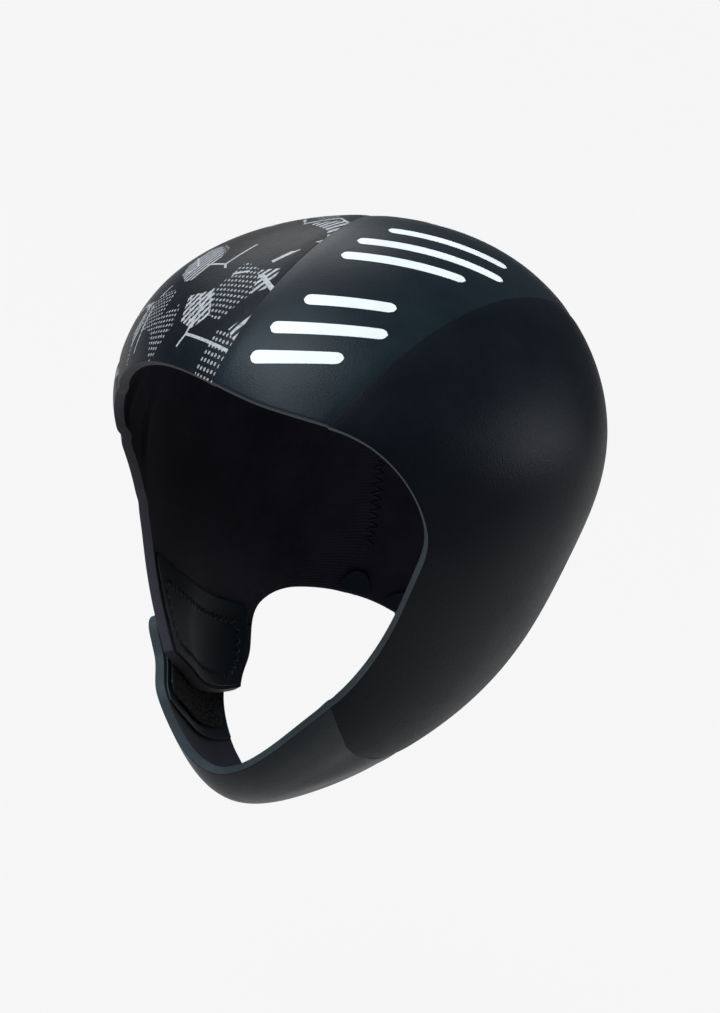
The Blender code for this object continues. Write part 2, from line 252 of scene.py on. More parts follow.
def panel(front, back, top, hem, tucked=False):
    """Fill four drawn edges: front and back run down, top and hem run across from front to back."""
    def place(across, down):
        u, v = across[:, None], down[:, None]
        sides = mix(along(front, down), along(back, down), u)
        ends = mix(along(top, across), along(hem, across), v)
        corners = mix(mix(top[0], top[-1], u), mix(hem[0], hem[-1], u), v)
        way = unit(sides + ends - corners)
        normal = form_normal(way)
        depth = tuck(way) if tucked else np.zeros(len(way))
        return form_point(way) - normal * depth[:, None], normal

    return place


def rounded(across, down, size, radius, both_ends):
    """Pull the sides of a band in near its last end, or both, so that its corners have a radius."""
    length, width = size
    to_end = np.minimum(down if both_ends else 1.0, 1.0 - down) * length
    short = radius - np.minimum(to_end, radius)
    inset = radius - np.sqrt(radius ** 2 - short ** 2)
    return 0.5 + (across - 0.5) * (1.0 - 2.0 * inset / width)


def eased(value, first, last):
    """Rise smoothly from 0 at the first value to 1 at the last."""
    share = np.clip((value - first) / (last - first), 0.0, 1.0)
    return share * share * (3.0 - 2.0 * share)


def tuck(way):
    """Depth by which the right flap goes in under the strap."""
    away = np.degrees(np.arccos(np.clip(way @ direction(*TUCK_MIDDLE), -1.0, 1.0)))
    return FLAP_TUCK * eased(away, TUCK_STARTS, TUCK_ENDS)


def strap_way(across, down, reach):
    """Direction and height on the stretch of the strap between two rows of rim shares."""
    first, last = reach
    face, neck = mix(first[0], last[0], down), mix(first[1], last[1], down)
    lift = eased(face, *STRAP_LIFTS)
    width = band_size(FLAP_END, STRAP_TIP)[1]
    front = eased(face, *STRAP_LEAVES) * STRAP_SET_BACK / width
    back = lift * STRAP_NARROWING / width
    bow = (1.0 - lift) * 4.0 * across * (1.0 - across) * STRAP_SEAM_BOW / rim_length(FACE_RIM)
    way = band(face + bow, neck + bow, mix(front, 1.0 - back, across))
    return way, lift * (STRAP_PROUD - tuck(way))


def strap_row(face_share):
    """Row of rim shares on the strap for its share on the face rim."""
    down = (face_share - STRAP_SEAM[0]) / (STRAP_TIP[0] - STRAP_SEAM[0])
    return face_share, mix(STRAP_SEAM[1], STRAP_TIP[1], down)


def rim_length(rim):
    """Length of a whole rim."""
    return np.linalg.norm(np.diff(form_point(rim), axis=0), axis=1).sum()


def strap_piece(depth, reach, margin, radius, both_ends):
    """Place a sheet on the strap: depth under its outer face, from one row of rim shares to another."""
    size = band_size(*reach)

    def place(across, down):
        inside = mix(margin / size[1], 1.0 - margin / size[1], across)
        inside = rounded(inside, down, size, radius, both_ends)
        way, height = strap_way(inside, down, reach)
        normal = form_normal(way)
        return form_point(way) + normal * (height - depth)[:, None], normal

    return place


def flap_piece(height, from_end, length, margin, both_ends):
    """Place a patch on the right flap, at a height over its outer face and a distance from its end."""
    shares = [(from_end / rim_length(rim), length / rim_length(rim)) for rim in (FACE_RIM, NECK_RIM)]
    first = [end + start for end, (start, _) in zip(FLAP_END, shares)]
    last = [begin + run for begin, (_, run) in zip(first, shares)]
    size = band_size(first, last)

    def place(across, down):
        inside = mix(margin / size[1], 1.0 - margin / size[1], across)
        inside = 1.0 - rounded(1.0 - inside, down, size, PATCH_ROUND, both_ends)
        way = band(mix(first[0], last[0], down), mix(first[1], last[1], down), inside)
        normal = form_normal(way)
        return form_point(way) + normal * (height - tuck(way))[:, None], normal

    return place


def nape_patch(seam, rim_at):
    """Place a half-round patch inside the neck rim over the end of a crown seam."""
    centre = along(NECK_RIM, rim_at % 1.0)
    beside = unit(along(NECK_RIM, (rim_at + 0.005) % 1.0) - along(NECK_RIM, (rim_at - 0.005) % 1.0))
    inward = unit(along(seam, 0.95) - centre)
    scale = np.linalg.norm(form_point(unit(centre + 0.01 * inward)) - form_point(centre)) / 0.01

    def place(across, down):
        angle, radius = math.pi * across, NAPE_PATCH_RADIUS * down
        side, reach = radius * np.cos(angle), radius * np.sin(angle) + FACING_MARGIN
        way = unit(centre + (side[:, None] * beside + reach[:, None] * inward) / scale)
        normal = form_normal(way)
        return form_point(way) - normal * (SHEET + LAYER_GAP), normal

    return place


def pick(item):
    """Make one object the only selected and the active one."""
    bpy.ops.object.select_all(action="DESELECT")
    item.select_set(True)
    bpy.context.view_layer.objects.active = item


def cut_sheet(name, place, rows, columns, wall, finishes, joined=(), rim=CUT_ROUND, relief=None):
    """A cut sheet: a grid laid by place(across, down), with its wall, its rounded cut edge and a UV map
    in metres. finishes are those of the outer face, the inner face and the cut edge."""
    bpy.ops.object.select_all(action="DESELECT")
    bpy.ops.mesh.primitive_grid_add(x_subdivisions=columns, y_subdivisions=rows, size=2.0)
    piece = bpy.context.object
    piece.name = piece.data.name = name
    mesh = piece.data
    flat = np.empty(3 * len(mesh.vertices))
    mesh.vertices.foreach_get("co", flat)
    across, down = (flat.reshape(-1, 3)[:, :2].T + 1.0) / 2.0
    points, normals = place(across, down)
    if relief is not None:
        points = points + normals * relief(points, across, down)[:, None]
    row_at, column_at = np.rint(down * rows).astype(int), np.rint(across * columns).astype(int)
    grid = np.empty((rows + 1, columns + 1), dtype=int)
    grid[row_at, column_at] = np.arange(len(across))
    edges = {"top": (grid[0], grid[1]), "hem": (grid[-1], grid[-2]),
             "front": (grid[:, 0], grid[:, 1]), "back": (grid[:, -1], grid[:, -2])}
    for edge in joined:
        outer, inner = edges[edge]
        points[outer] -= SEAM_PRESS * unit(points[inner] - points[outer])
    mesh.vertices.foreach_set("co", points.ravel())
    mesh.update()
    middle = mesh.polygons[len(mesh.polygons) // 2]
    if np.dot(middle.normal, normals[middle.vertices[0]]) < 0.0:
        mesh.flip_normals()
    length = np.linalg.norm(np.diff(points[grid[:, columns // 2]], axis=0), axis=1).sum()
    width = np.linalg.norm(np.diff(points[grid[rows // 2]], axis=0), axis=1).sum()
    corner = np.empty(len(mesh.loops), dtype=int)
    mesh.loops.foreach_get("vertex_index", corner)
    laid = np.stack([across[corner] * width, down[corner] * length], axis=-1)
    mesh.uv_layers[0].data.foreach_set("uv", laid.ravel())
    for part in finishes:
        mesh.materials.append(part)
    pick(piece)
    wall_step = piece.modifiers.new("wall", "SOLIDIFY")
    wall_step.thickness = wall
    wall_step.offset = -1.0
    wall_step.use_even_offset = True
    wall_step.material_offset = min(1, len(finishes) - 1)
    wall_step.material_offset_rim = len(finishes) - 1
    round_step = piece.modifiers.new("rounded edge", "BEVEL")
    round_step.width = min(rim, 0.45 * wall)
    round_step.segments = 3
    round_step.limit_method = "ANGLE"
    round_step.angle_limit = math.radians(50.0)
    for step in (wall_step.name, round_step.name):
        bpy.ops.object.modifier_apply(modifier=step)
    bpy.ops.object.shade_smooth()
    return piece


def dress(piece, node):
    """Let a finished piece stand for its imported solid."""
    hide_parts(node)
    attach(piece, "root")


def socket_group(name, numbers, outputs):
    """An empty node group with number inputs, a vector input and number outputs."""
    group = bpy.data.node_groups.new(name, "ShaderNodeTree")
    group.interface.new_socket("Vector", in_out="INPUT", socket_type="NodeSocketVector")
    for label, value in numbers:
        made = group.interface.new_socket(label, in_out="INPUT", socket_type="NodeSocketFloat")
        made.default_value = value
    for label in outputs:
        group.interface.new_socket(label, in_out="OUTPUT", socket_type="NodeSocketFloat")
    return group, group.nodes.new("NodeGroupInput"), group.nodes.new("NodeGroupOutput")


def math_node(tree, operation, first, second=None):
    """A Math node on sockets or plain numbers, and its output."""
    node = tree.nodes.new("ShaderNodeMath")
    node.operation = operation
    for slot_at, value in zip(node.inputs, (first, second)):
        if isinstance(value, (int, float)):
            slot_at.default_value = value
        elif value is not None:
            tree.links.new(value, slot_at)
    return node.outputs[0]


def noise(tree, vector, scale, detail=2.0, roughness=0.5):
    """A Noise node's value over a vector."""
    node = tree.nodes.new("ShaderNodeTexNoise")
    node.inputs["Detail"].default_value = detail
    node.inputs["Roughness"].default_value = roughness
    if isinstance(scale, (int, float)):
        node.inputs["Scale"].default_value = scale
    else:
        tree.links.new(scale, node.inputs["Scale"])
    tree.links.new(vector, node.inputs["Vector"])
    return node.outputs["Fac"]


def make_handling():
    """Handling marks: cloudy patches and fine scuffs where a rubber skin was gripped and folded."""
    group, start, end = socket_group("handling", (("Cloud Size", 40.0), ("Scuff Size", 900.0)),
                                     ("Cloud", "Scuff"))
    cloud = noise(group, start.outputs["Vector"], start.outputs["Cloud Size"], 4.0, 0.6)
    fine = noise(group, start.outputs["Vector"], start.outputs["Scuff Size"], 2.0, 0.7)
    group.links.new(cloud, end.inputs["Cloud"])
    group.links.new(math_node(group, "MULTIPLY", fine, cloud), end.inputs["Scuff"])
    return group


def make_pores():
    """The skin's fine pebbling: tiny rounded cells with a softer, wider unevenness under them."""
    group, start, end = socket_group("pores", (("Cells", 1500.0),), ("Height",))
    cells = group.nodes.new("ShaderNodeTexVoronoi")
    group.links.new(start.outputs["Vector"], cells.inputs["Vector"])
    group.links.new(start.outputs["Cells"], cells.inputs["Scale"])
    wide = noise(group, start.outputs["Vector"], 260.0, 3.0)
    group.links.new(math_node(group, "ADD", cells.outputs["Distance"], wide), end.inputs["Height"])
    return group


HANDLING = make_handling()
PORES = make_pores()
CLOUD_SIZE = 38.0
SCUFF_SIZE = 1100.0
GLOSS_SPREAD = 0.07
PORE_DEPTH = 0.0001


def placed(tree, group, vector, **values):
    """Place a node group on a vector with its own values."""
    node = tree.nodes.new("ShaderNodeGroup")
    node.node_tree = group
    tree.links.new(vector, node.inputs["Vector"])
    for label, value in values.items():
        node.inputs[label.replace("_", " ")].default_value = value
    return node


def tinted(tree, share, first, second):
    """A colour that runs from first to second with a share."""
    node = tree.nodes.new("ShaderNodeMix")
    node.data_type = "RGBA"
    node.inputs["A"].default_value = (*first, 1.0)
    node.inputs["B"].default_value = (*second, 1.0)
    tree.links.new(share, node.inputs["Factor"])
    return node.outputs["Result"]


def ranged(tree, value, low, high, to_low, to_high):
    """Map a value from one range to another, held at both ends."""
    node = tree.nodes.new("ShaderNodeMapRange")
    tree.links.new(value, node.inputs["Value"])
    for label, number in zip(("From Min", "From Max", "To Min", "To Max"), (low, high, to_low, to_high)):
        node.inputs[label].default_value = number
    return node.outputs["Result"]


def rubbered(name, dark, light, dull, cells, depth, sheen_level=0.25):
    """A dark rubber finish: two close tones in clouds, an uneven gloss and fine pebbling. Gives back the
    material, its shader, its tree and its object-space vector."""
    material = bpy.data.materials.new(name)
    material.use_nodes = True
    tree = material.node_tree
    shader = tree.nodes["Principled BSDF"]
    shader.inputs["Specular IOR Level"].default_value = sheen_level
    vector = tree.nodes.new("ShaderNodeTexCoord").outputs["Object"]
    marks = placed(tree, HANDLING, vector, Cloud_Size=CLOUD_SIZE, Scuff_Size=SCUFF_SIZE)
    clouds = ranged(tree, marks.outputs["Cloud"], 0.35, 0.65, 0.0, 1.0)
    tree.links.new(tinted(tree, clouds, dark, light), shader.inputs["Base Color"])
    scuffs = ranged(tree, marks.outputs["Scuff"], 0.1, 0.5, dull - GLOSS_SPREAD, dull + GLOSS_SPREAD)
    tree.links.new(scuffs, shader.inputs["Roughness"])
    bump = tree.nodes.new("ShaderNodeBump")
    bump.inputs["Strength"].default_value = depth
    bump.inputs["Distance"].default_value = PORE_DEPTH
    pores = placed(tree, PORES, vector, Cells=cells)
    tree.links.new(pores.outputs["Height"], bump.inputs["Height"])
    tree.links.new(bump.outputs["Normal"], shader.inputs["Normal"])
    return material, shader, tree, vector


SMOOTH_SKIN, *_ = rubbered(
    "smooth_skin", (0.0030, 0.0056, 0.0078), (0.0048, 0.0084, 0.0112), 0.42, 1700.0, 0.35, 0.08)
WALES = 420.0
KNIT_DEPTH = 0.00015


def make_lining():
    """Purple-black knitted jersey bonded to the inner face: close wales with a soft, matt nap."""
    material, shader, tree, vector = rubbered(
        "jersey_lining", (0.0120, 0.0108, 0.0200), (0.0230, 0.0205, 0.0350), 0.78, 1100.0, 0.2, 0.12)
    wales = tree.nodes.new("ShaderNodeTexWave")
    wales.inputs["Scale"].default_value = WALES
    wales.inputs["Distortion"].default_value = 0.6
    uv = tree.nodes.new("ShaderNodeTexCoord").outputs["UV"]
    tree.links.new(uv, wales.inputs["Vector"])
    bump = next(node for node in tree.nodes if node.type == "BUMP")
    knit = tree.nodes.new("ShaderNodeBump")
    knit.inputs["Strength"].default_value = 0.5
    knit.inputs["Distance"].default_value = KNIT_DEPTH
    tree.links.new(wales.outputs["Fac"], knit.inputs["Height"])
    tree.links.new(bump.outputs["Normal"], knit.inputs["Normal"])
    tree.links.new(knit.outputs["Normal"], shader.inputs["Normal"])
    shader.inputs["Sheen Weight"].default_value = 0.04
    shader.inputs["Sheen Roughness"].default_value = 0.5
    return material


LINING = make_lining()
CUT_EDGE, *_ = rubbered("cut_foam_edge", (0.013, 0.020, 0.024), (0.028, 0.039, 0.045), 0.7, 2600.0, 0.8)

left_seam, (left_brow, left_nape) = crown_seam(1)
right_seam, (right_brow, right_nape) = crown_seam(-1)
brow = rim_span(FACE_RIM, right_brow, left_brow)
nape = rim_span(NECK_RIM, right_nape, left_nape)


def slack(points):
    """Low, wide unevenness of a stretched sheet, a share of a millimetre deep."""
    x, y, z = (points / SLACK_SPAN).T
    cross_wave = np.sin(1.7 * y - 1.9 * z + 0.6) * np.cos(1.1 * x - 0.4)
    return SLACK_DEPTH * (np.sin(2.1 * x + 1.3 * z) + cross_wave)


def beside_seam(share, width_share):
    """Depth of the shallow valley that the glued seam draws along an edge."""
    return -VALLEY_DEPTH * np.exp(-(share / width_share) ** 2)


def crown_relief(points, across, down):
    """The crown panel dips along both of its glued edges."""
    valleys = beside_seam(across, CROWN_VALLEY) + beside_seam(1.0 - across, CROWN_VALLEY)
    return slack(points) + valleys


crown_place = panel(right_seam, left_seam, brow, nape)
crown_panel = cut_sheet("crown_shell", crown_place, 220, 46, SHEET,
                        (SMOOTH_SKIN, LINING, CUT_EDGE), joined=("front", "back"), relief=crown_relief)
dress(crown_panel, "crown_panel")


# Crown bars. Three rows of plain white bars with round ends, screen printed in silicone ink across the
# crown panel. The ink lies a few hundredths of a millimetre proud of the skin.
# way and aside are shares along and across the crown panel, long and wide are in metres, turn in degrees.
BAR_COLUMNS = ("way", "aside", "long", "wide", "turn")
BARS = (
    (0.060, 0.47, 0.027, 0.0048, 24.0),
    (0.105, 0.51, 0.034, 0.0048, 24.0),
    (0.150, 0.49, 0.027, 0.0048, 24.0),
    (0.245, 0.50, 0.038, 0.0048, 24.0),
    (0.290, 0.53, 0.046, 0.0048, 24.0),
    (0.335, 0.51, 0.038, 0.0048, 24.0),
    (0.430, 0.50, 0.038, 0.0048, 24.0),
    (0.475, 0.50, 0.046, 0.0048, 24.0),
    (0.520, 0.50, 0.038, 0.0048, 24.0),
)
PRINT_PROUD = 0.00008
PRINT_DEEP = 0.00016
INK_EDGE = 0.00004
WHITE_INK, *_ = rubbered("white_ink", (0.42, 0.41, 0.41), (0.50, 0.49, 0.49), 0.5, 1500.0, 0.25, 0.3)
crown_length = np.linalg.norm(np.diff(form_point(right_seam), axis=0), axis=1).sum()


def bar_place(way, aside, long, wide, turn):
    """Place a round-ended bar on the crown panel."""
    turn = math.radians(turn)
    centre, _ = crown_place(np.array([aside]), np.array([way]))
    step = 0.1
    beside, _ = crown_place(np.array([aside + step]), np.array([way]))
    across_size = np.linalg.norm(beside - centre) / step

    def place(across, down):
        along_bar = (down - 0.5) * long
        past = np.maximum(np.abs(along_bar) - 0.5 * (long - wide), 0.0)
        half = np.sqrt(np.maximum((0.5 * wide) ** 2 - past ** 2, (0.02 * wide) ** 2))
        over_bar = (2.0 * across - 1.0) * half
        shift_across = (along_bar * math.cos(turn) - over_bar * math.sin(turn)) / across_size
        shift_way = (along_bar * math.sin(turn) + over_bar * math.cos(turn)) / crown_length
        points, normals = crown_place(aside + shift_across, way + shift_way)
        lift = crown_relief(points, aside + shift_across, way + shift_way) + PRINT_PROUD
        return points + normals * lift[:, None], normals

    return place


for number, row in enumerate(BARS, start=1):
    place = bar_place(**dict(zip(BAR_COLUMNS, row)))
    bar = cut_sheet(f"crown_bar_{number}", place, 48, 8, PRINT_DEEP, (WHITE_INK,), rim=INK_EDGE)
    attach(bar, "root")


# Strap and fastening. The left panel ends at the strap's seam, so the sizes of the chin strap, its
# facings and its hook-and-loop patches come first.
FACING = 0.0004
HOOK_PILE = 0.0006
LOOP_PILE = 0.0006
STRAP_NARROWING = 0.003
STRAP_SET_BACK = 0.014
STRAP_SEAM_BOW = 0.004
FLAP_TUCK = 0.007
TIP_ROUND = 0.010
HOOK_REACH = 0.011
HOOK_MARGIN = 0.0035
FACING_REACH = 0.015
FACING_MARGIN = 0.0012
LOOP_MARGIN = 0.009
FLAP_PATCH_LENGTH = 0.036
FLAP_PATCH_MARGIN = 0.0045
PATCH_ROUND = 0.007
NAPE_PATCH_RADIUS = 0.008

# Where the pieces end, as shares of a rim's length from the midline at the top, down the left, under
# the chin and up the right: first on the face rim, then on the neck rim.
STRAP_SEAM = (0.366, 0.236)
STRAP_LIFTS = (0.460, 0.570)
STRAP_LEAVES = (0.548, 0.600)
FLAP_END = (0.585, 0.615)
STRAP_TIP = (0.637, 0.700)

# The right flap goes in under the strap round this turn and rise, from 50 to 24 degrees away
TUCK_MIDDLE = (-100, -50)
TUCK_STARTS = 50
TUCK_ENDS = 24

# Height of the strap's outer face over the flap that it closes on
STRAP_PROUD = SHEET + FACING + HOOK_PILE + LOOP_PILE + 4.0 * LAYER_GAP

# Radius of the edges of a facing and of a patch
FACING_EDGE = 0.0001
PILE_EDGE = 0.0002


# Left side panel. One curved piece of the same sheet from the crown seam down over the ear and jaw,
# where the chin strap is glued to its end. Its skin is a little duller than the crown's, and its darker
# tones are painted shade.
SHADED_SIDE_SKIN, *_ = rubbered(
    "side_skin", (0.0026, 0.0034, 0.0048), (0.0038, 0.0049, 0.0067), 0.45, 1500.0, 0.45, 0.022)
left_face = rim_span(FACE_RIM, left_brow, STRAP_SEAM[0])
left_neck = rim_span(NECK_RIM, left_nape, STRAP_SEAM[1])


def left_relief(points, across, down):
    """The left panel dips at the crown seam and at the strap's seam."""
    valleys = beside_seam(down, SIDE_VALLEY) + beside_seam(1.0 - down, SIDE_VALLEY)
    return slack(points) + valleys


strap_seam, _ = strap_way(np.linspace(0.0, 1.0, FINE), np.zeros(FINE), (STRAP_SEAM, STRAP_TIP))
side_panel_left = cut_sheet(
    "left_shell", panel(left_face, left_neck, left_seam, strap_seam),
    150, 130, SHEET, (SHADED_SIDE_SKIN, LINING, CUT_EDGE), joined=("top", "hem"), relief=left_relief)
dress(side_panel_left, "side_panel_left")


# Right side panel. It carries a pale broken print beside the crown seam, and its lower end runs on as
# the flap that the strap closes on. The sheet is slack at the temple, where it folds and stands out.
TEMPLE = direction(-64, 6)
TEMPLE_REACH = 0.24
TEMPLE_STANDS = 0.0028

# The print: sizes in metres, the hatching's slant in degrees, the inked share of a step or a cell, and
# the shares of the panel that are hatched, dotted and lined where the print is whole
HATCH_STEP = 0.0021
DOT_STEP = 0.0016
SHARD = 0.012
LINE_CELL = 2.6 * SHARD
HATCH_SLANT = 62.0
STRIPE_INKED = 0.52
DOT_INKED = 0.27
LINE_INKED = 0.011
HATCHED = 0.20
DOTTED = 0.22
LINED = 0.52
DOT_TONE = 0.8
PRINT_TONE = (0.26, 0.25, 0.25)

# Creases at the temple: turn and rise of the start and slope, all in degrees, and sizes in metres
CREASES = ((-60, 1, 35.0), (-66, -5, 48.0), (-58, 12, 20.0))
CREASE_DEPTH = 0.0011
CREASE_WIDTH = 0.0018
CREASE_LENGTH = 0.016
CREASE_MIDDLE = 0.006


def make_printed_skin():
    """Side skin with shards of pale hatching and dots and a few thin lines, thinning out low down."""
    material, shader, tree, vector = rubbered(
        "printed_skin", (0.0026, 0.0040, 0.0054), (0.0040, 0.0060, 0.0078), 0.44, 1500.0, 0.45, 0.05)
    uv = tree.nodes.new("ShaderNodeTexCoord").outputs["UV"]

    def cells(size, feature, evenness=1.0):
        node = tree.nodes.new("ShaderNodeTexVoronoi")
        node.feature = feature
        node.inputs["Scale"].default_value = 1.0 / size
        node.inputs["Randomness"].default_value = evenness
        tree.links.new(uv, node.inputs["Vector"])
        return node.outputs

    place = tree.nodes.new("ShaderNodeSeparateXYZ")
    tree.links.new(vector, place.inputs["Vector"])
    present = math_node(tree, "MULTIPLY", ranged(tree, place.outputs["Z"], -0.085, -0.045, 0.0, 1.0),
                        ranged(tree, place.outputs["Y"], -0.020, 0.050, 1.0, 0.0))

    def where_present(value, share):
        return math_node(tree, "LESS_THAN", value, math_node(tree, "MULTIPLY", present, share))

    slant = tree.nodes.new("ShaderNodeMapping")
    slant.vector_type = "TEXTURE"
    slant.inputs["Rotation"].default_value = (0.0, 0.0, math.radians(HATCH_SLANT))
    slant.inputs["Scale"].default_value = (HATCH_STEP, HATCH_STEP, 1.0)
    tree.links.new(uv, slant.inputs["Vector"])
    split = tree.nodes.new("ShaderNodeSeparateXYZ")
    tree.links.new(slant.outputs["Vector"], split.inputs["Vector"])
    stripes = math_node(tree, "LESS_THAN", math_node(tree, "FRACT", split.outputs["X"]), STRIPE_INKED)
    shard = tree.nodes.new("ShaderNodeSeparateColor")
    tree.links.new(cells(SHARD, "F1")["Color"], shard.inputs["Color"])
    hatched = where_present(shard.outputs["Red"], HATCHED)
    dotted = where_present(shard.outputs["Green"], DOTTED)
    dots = math_node(tree, "LESS_THAN", cells(DOT_STEP, "F1", 0.1)["Distance"], DOT_INKED)
    lines = math_node(tree, "LESS_THAN", cells(LINE_CELL, "DISTANCE_TO_EDGE")["Distance"], LINE_INKED)
    broken = where_present(noise(tree, vector, 70.0, 1.0), LINED)
    dot_ink = math_node(tree, "MULTIPLY", math_node(tree, "MULTIPLY", dots, dotted), DOT_TONE)
    marks = math_node(tree, "MAXIMUM", math_node(tree, "MULTIPLY", stripes, hatched), dot_ink)
    ink = math_node(tree, "MAXIMUM", marks, math_node(tree, "MULTIPLY", lines, broken))
    wear = ranged(tree, noise(tree, vector, 900.0, 2.0), 0.30, 0.55, 0.6, 1.0)
    base = shader.inputs["Base Color"].links[0].from_socket
    printed = tree.nodes.new("ShaderNodeMix")
    printed.data_type = "RGBA"
    printed.inputs["B"].default_value = (*PRINT_TONE, 1.0)
    tree.links.new(math_node(tree, "MULTIPLY", ink, wear), printed.inputs["Factor"])
    tree.links.new(base, printed.inputs["A"])
    tree.links.new(printed.outputs["Result"], shader.inputs["Base Color"])
    return material


PRINTED_SKIN = make_printed_skin()
FLAP_EDGE, *_ = rubbered("flap_cut_edge", (0.012, 0.011, 0.017), (0.026, 0.024, 0.034), 0.7, 2600.0, 0.8)
right_face = rim_span(FACE_RIM, 1.0 + right_brow, FLAP_END[0])
right_neck = rim_span(NECK_RIM, 1.0 + right_nape, FLAP_END[1])


def right_relief(points, across, down):
    """Slack, the valley at the crown seam, and the temple's fold with its creases."""
    temple = form_point(TEMPLE)
    away = np.linalg.norm(points - temple, axis=1) / (0.5 * CAP_WIDTH)
    height = slack(points) + beside_seam(down, SIDE_VALLEY)
    height = height + TEMPLE_STANDS * np.exp(-(away / TEMPLE_REACH) ** 2)
    for turn, rise, slope in CREASES:
        start = form_point(direction(turn, rise))
        back, up = (points - start)[:, 1], (points - start)[:, 2]
        slope = math.radians(slope)
        over = up * math.cos(slope) - back * math.sin(slope)
        run = back * math.cos(slope) + up * math.sin(slope)
        fall = (over / CREASE_WIDTH) ** 2 + ((run - CREASE_MIDDLE) / CREASE_LENGTH) ** 2
        height = height - CREASE_DEPTH * np.exp(-fall)
    return height


side_panel_right = cut_sheet(
    "right_shell",
    panel(right_face, right_neck, right_seam, straight(right_face[-1], right_neck[-1]), tucked=True),
    170, 130, SHEET, (PRINTED_SKIN, LINING, FLAP_EDGE), joined=("top",), relief=right_relief)
dress(side_panel_right, "side_panel_right")


# Chin strap. A wide tapered strap of smooth-skin neoprene, glued to the left panel's end. It passes
# under the chin and up over the flap. Pulled folds fan out from its seam: their reach is a share of the
# strap's length, and their depths are in metres.
FOLD_REACH = 0.22
BROAD_FOLD = 0.00035
NARROW_FOLD = 0.00012


def strap_relief(points, across, down):
    """Pulled folds that fan out from the glued seam and run down the strap."""
    fan = np.exp(-(down / FOLD_REACH) ** 2)
    broad = BROAD_FOLD * np.sin(13.0 * across + 2.5 * down)
    narrow = NARROW_FOLD * np.sin(27.0 * across - 5.0 * down)
    folds = fan * (broad + narrow) * 4.0 * across * (1.0 - across)
    return slack(points) + beside_seam(down, STRAP_VALLEY) + folds


chin_strap = cut_sheet(
    "strap_shell", strap_piece(0.0, (STRAP_SEAM, STRAP_TIP), 0.0, TIP_ROUND, False),
    120, 50, SHEET, (SMOOTH_SKIN, LINING, CUT_EDGE), joined=("top",), relief=strap_relief)
dress(chin_strap, "chin_strap")


# Strap facing and hook patch. A thin smooth facing is glued inside the strap's end, and the hook
# patch is stitched onto it: a field of short stiff nylon hooks with a plain selvedge.
FACED, *_ = rubbered(
    "thin_facing", (0.0080, 0.0130, 0.0185), (0.0120, 0.0180, 0.0245), 0.52, 2000.0, 0.3, 0.09)
rim_metre = 1.0 / rim_length(FACE_RIM)
facing_reach = [strap_row(FLAP_END[0] - FACING_REACH * rim_metre),
                strap_row(STRAP_TIP[0] - FACING_MARGIN * rim_metre)]
strap_facing = cut_sheet("strap_facing_skin",
                         strap_piece(SHEET + LAYER_GAP, facing_reach, FACING_MARGIN, TIP_ROUND, False),
                         60, 40, FACING, (FACED, FACED, CUT_EDGE), rim=FACING_EDGE)
dress(strap_facing, "strap_facing")

# Painted highlight on the tufts' tips and painted shade in the gaps between them, as shares of the pile's
# own tone
TUFT_TIP_HIGHLIGHT = 3.2
TUFT_GAP_SHADE = 0.4


def make_pile(name, tone, size, depth):
    """Matt pile: a bed of tiny separate tufts, with a painted highlight on each tip and painted shade
    between them.
    """
    material, shader, tree, vector = rubbered(name, tone, tone, 0.9, size, depth, 0.1)
    tufts = tree.nodes.new("ShaderNodeTexVoronoi")
    tufts.inputs["Scale"].default_value = size
    tree.links.new(vector, tufts.inputs["Vector"])
    # Painted shade: the tone runs from a painted highlight at each tuft's middle to painted shade at its
    # edges.
    painted_shade_share = ranged(tree, tufts.outputs["Distance"], 0.1, 0.6, 0.0, 1.0)
    tip_highlight, gap_shade = (tuple(times * part for part in tone) for times in (TUFT_TIP_HIGHLIGHT, TUFT_GAP_SHADE))
    tree.links.new(tinted(tree, painted_shade_share, tip_highlight, gap_shade), shader.inputs["Base Color"])
    return material


HOOK_PILE_BLACK = make_pile("hook_pile", (0.0120, 0.0120, 0.0135), 900.0, 1.0)
hook_reach = [strap_row(FLAP_END[0] - HOOK_REACH * rim_metre),
              strap_row(STRAP_TIP[0] - HOOK_MARGIN * rim_metre)]
hook_place = strap_piece(SHEET + FACING + 2.0 * LAYER_GAP, hook_reach, HOOK_MARGIN, PATCH_ROUND, True)
hook_patch = cut_sheet("hook_tape", hook_place, 70, 40, HOOK_PILE, (HOOK_PILE_BLACK,), rim=PILE_EDGE)
dress(hook_patch, "hook_patch")


# Flap facing and loop patch. The loop patch is stitched to the flap's outer face, under the strap, and
# the thin facing inside the flap backs it, with the stitching of the patch drawn through.
flap_facing = cut_sheet(
    "flap_facing_skin",
    flap_piece(-SHEET - LAYER_GAP, FACING_MARGIN, FLAP_PATCH_LENGTH, FLAP_PATCH_MARGIN, False),
    60, 40, FACING, (FACED, FACED, CUT_EDGE), rim=FACING_EDGE)
dress(flap_facing, "flap_facing")
LOOP_PILE_BLACK = make_pile("loop_pile", (0.0050, 0.0050, 0.0056), 700.0, 0.8)
loop_length = FLAP_PATCH_LENGTH - 2.0 * LOOP_MARGIN
loop_patch = cut_sheet("loop_tape",
                       flap_piece(LAYER_GAP + LOOP_PILE, LOOP_MARGIN, loop_length, LOOP_MARGIN, True),
                       40, 40, LOOP_PILE, (LOOP_PILE_BLACK,), rim=PILE_EDGE)
dress(loop_patch, "loop_patch")


# Nape patches. A half-round of the thin facing is glued inside over the end of each crown seam.
for name, seam, rim_at in (("nape_patch_left", left_seam, left_nape),
                           ("nape_patch_right", right_seam, right_nape)):
    half_round = cut_sheet(name.replace("patch", "half_round"), nape_patch(seam, rim_at), 24, 48, FACING,
                           (FACED, FACED, CUT_EDGE), rim=FACING_EDGE)
    dress(half_round, name)


